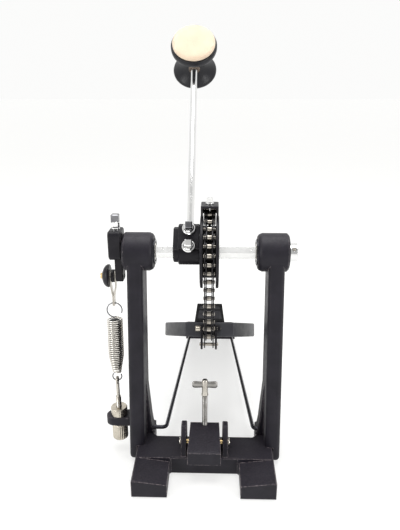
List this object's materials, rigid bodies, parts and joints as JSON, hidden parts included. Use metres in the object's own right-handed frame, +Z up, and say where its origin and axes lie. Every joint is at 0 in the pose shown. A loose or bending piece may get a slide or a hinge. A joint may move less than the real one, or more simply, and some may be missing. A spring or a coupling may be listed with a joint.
{
  "type": "bass drum pedal",
  "caption": "Single bass drum pedal: two posts carry a hex axle with a chain-driven wheel, a spool-shaped felt beater, a side return spring, a sloping footboard and a hoop clamp.",
  "frame": {"origin": "centre of the base crossbar's underside, on the floor", "axes": "+Z up, +Y from the drum towards the player's heel, +X to the right seen from the drum"},
  "size_m": [0.212, 0.4135, 0.4808],
  "materials": {
    "black_casting": "satin, slightly textured black powder coat",
    "black_steel": "smooth semi-gloss black",
    "rubber": "matte black rubber",
    "chrome": "bright chrome plating",
    "nickel": "dull nickel plating",
    "brass": "bright turned brass",
    "black_plastic": "semi-gloss black plastic",
    "felt": "dense cream felt",
    "chain_steel": "oiled dark steel with bright rollers"
  },
  "bodies": {
    "base": {"base_casting": "black_casting", "base_pad": "rubber", "left_post": "black_casting", "right_post": "black_casting", "post_screw_left": "nickel", "post_screw_right": "nickel", "bearing_outer_left": "chrome", "bearing_outer_right": "chrome", "heel_plate": "black_casting", "heel_pin": "nickel", "left_radius_rod": "nickel", "right_radius_rod": "nickel", "clamp_pin": "brass"},
    "rotor": {"hex_axle": "chrome", "bearing_inner_left": "chrome", "bearing_inner_right": "chrome", "end_collar": "chrome", "end_collar_screw": "nickel", "drive_wheel": "black_steel", "beater_hub": "black_steel", "hub_screw_upper": "chrome", "hub_screw_lower": "chrome", "chain_clamp": "black_steel", "chain_clamp_bolt": "chrome", "rocker_arm": "black_steel", "rocker_key_bolt": "chrome", "rocker_pin": "brass", "pin_cap": "black_plastic", "chain_link_01": "chain_steel", "chain_link_02": "chain_steel", "chain_link_03": "chain_steel", "chain_link_04": "chain_steel"},
    "chain_a": {"chain_link_05": "chain_steel"},
    "chain_b": {"chain_link_06": "chain_steel"},
    "chain_c": {"chain_link_07": "chain_steel"},
    "chain_strand": {"chain_link_08": "chain_steel", "chain_link_09": "chain_steel", "chain_link_10": "chain_steel", "chain_link_11": "chain_steel", "chain_link_12": "chain_steel", "chain_link_13": "chain_steel", "chain_link_14": "chain_steel", "chain_link_15": "chain_steel", "chain_link_16": "chain_steel", "chain_link_17": "chain_steel"},
    "footboard_group": {"footboard": "black_casting", "toe_stop": "rubber", "toe_clevis": "black_steel", "toe_clevis_bolt": "nickel"},
    "stirrup": {"spring_stirrup": "nickel"},
    "spring": {"return_spring": "nickel"},
    "spring_top": {"spring_top_hook": "nickel"},
    "eye_rod": {"spring_eye_rod": "nickel"},
    "upper_nut": {"spring_nut_upper": "nickel"},
    "lower_nut": {"spring_nut_lower": "nickel"},
    "jaw": {"hoop_clamp_jaw": "black_casting"},
    "t_bolt": {"clamp_t_bolt": "nickel"},
    "beater": {"beater_shaft": "chrome"},
    "beater_head": {"beater_body": "black_plastic", "beater_felt": "felt"}
  },
  "joints": [
    {"name": "axle_spin", "type": "hinge", "parent": "base", "child": "rotor", "pos_m": [0, 0.034, 0.2435], "axis": [1, 0, 0], "range_deg": [-2, 44], "stiffness_Nm_per_rad": 1.2, "springref_deg": 2.9, "deforming": ["return_spring", "spring_top_hook"]},
    {"name": "chain_unroll_a", "type": "hinge", "parent": "rotor", "child": "chain_a", "pos_m": [0.004, 0.01045, 0.26589], "axis": [1, 0, 0], "range_deg": [-11.23, 1.08]},
    {"name": "chain_unroll_b", "type": "hinge", "parent": "chain_a", "child": "chain_b", "pos_m": [0.004, 0.00497, 0.25811], "axis": [1, 0, 0], "range_deg": [-14.23, 1.22]},
    {"name": "chain_unroll_c", "type": "hinge", "parent": "chain_b", "child": "chain_c", "pos_m": [0.004, 0.00198, 0.24906], "axis": [1, 0, 0], "range_deg": [-15.06, 1.26]},
    {"name": "chain_strand_swing", "type": "hinge", "parent": "chain_c", "child": "chain_strand", "pos_m": [0.004, 0.00174, 0.23954], "axis": [1, 0, 0], "range_deg": [-11.05, 1.07]},
    {"name": "footboard_tilt", "type": "hinge", "parent": "base", "child": "footboard_group", "pos_m": [0.0045, 0.296, 0.022], "axis": [1, 0, 0], "range_deg": [-0.83, 5.66]},
    {"name": "stirrup_swing", "type": "hinge", "parent": "rotor", "child": "stirrup", "pos_m": [-0.1002, 0.034, 0.2155], "axis": [1, 0, 0], "range_deg": [-52.6, 2.96]},
    {"name": "spring_swing", "type": "hinge", "parent": "eye_rod", "child": "spring", "pos_m": [-0.1002, 0.0237, 0.0923], "axis": [1, 0, 0], "range_deg": [-8.6, 0.96]},
    {"name": "spring_stretch", "type": "slide", "parent": "spring", "child": "spring_top", "axis": [0, 0.0833, 0.9965], "range_m": [-0.001, 0.0115]},
    {"name": "spring_rod_height", "type": "slide", "parent": "base", "child": "eye_rod", "axis": [0, 0, 1], "range_m": [-0.002, 0.001]},
    {"name": "upper_nut_turn", "type": "hinge", "parent": "base", "child": "upper_nut", "pos_m": [-0.1002, 0.0237, 0.0525], "axis": [0, 0, 1], "continuous": true},
    {"name": "lower_nut_turn", "type": "hinge", "parent": "base", "child": "lower_nut", "pos_m": [-0.1002, 0.0237, 0.026], "axis": [0, 0, 1], "continuous": true},
    {"name": "clamp_jaw_tilt", "type": "hinge", "parent": "base", "child": "jaw", "pos_m": [0, -0.004, 0.032], "axis": [1, 0, 0], "range_deg": [-10, 4]},
    {"name": "clamp_bolt_turn", "type": "hinge", "parent": "jaw", "child": "t_bolt", "pos_m": [0, 0.009, 0.06], "axis": [0, 0, 1], "continuous": true},
    {"name": "beater_height", "type": "slide", "parent": "rotor", "child": "beater", "axis": [0, 0.6088, 0.7934], "range_m": [-0.025, 0.012]},
    {"name": "beater_turn", "type": "hinge", "parent": "beater", "child": "beater_head", "pos_m": [-0.0175, 0.19571, 0.43453], "axis": [0, 0.6088, 0.7934], "continuous": true}
  ],
  "couplings": [
    {"joint": "chain_unroll_a", "follows": "axle_spin", "ratio": -0.2417},
    {"joint": "chain_unroll_b", "follows": "axle_spin", "ratio": -0.3098},
    {"joint": "chain_unroll_c", "follows": "axle_spin", "ratio": -0.3287},
    {"joint": "chain_strand_swing", "follows": "axle_spin", "ratio": -0.2375},
    {"joint": "footboard_tilt", "follows": "axle_spin", "ratio": 0.1151},
    {"joint": "stirrup_swing", "follows": "axle_spin", "ratio": -1.1819},
    {"joint": "spring_swing", "follows": "axle_spin", "ratio": -0.1819},
    {"joint": "spring_stretch", "follows": "axle_spin", "m_per_rad": 0.01401}
  ]
}
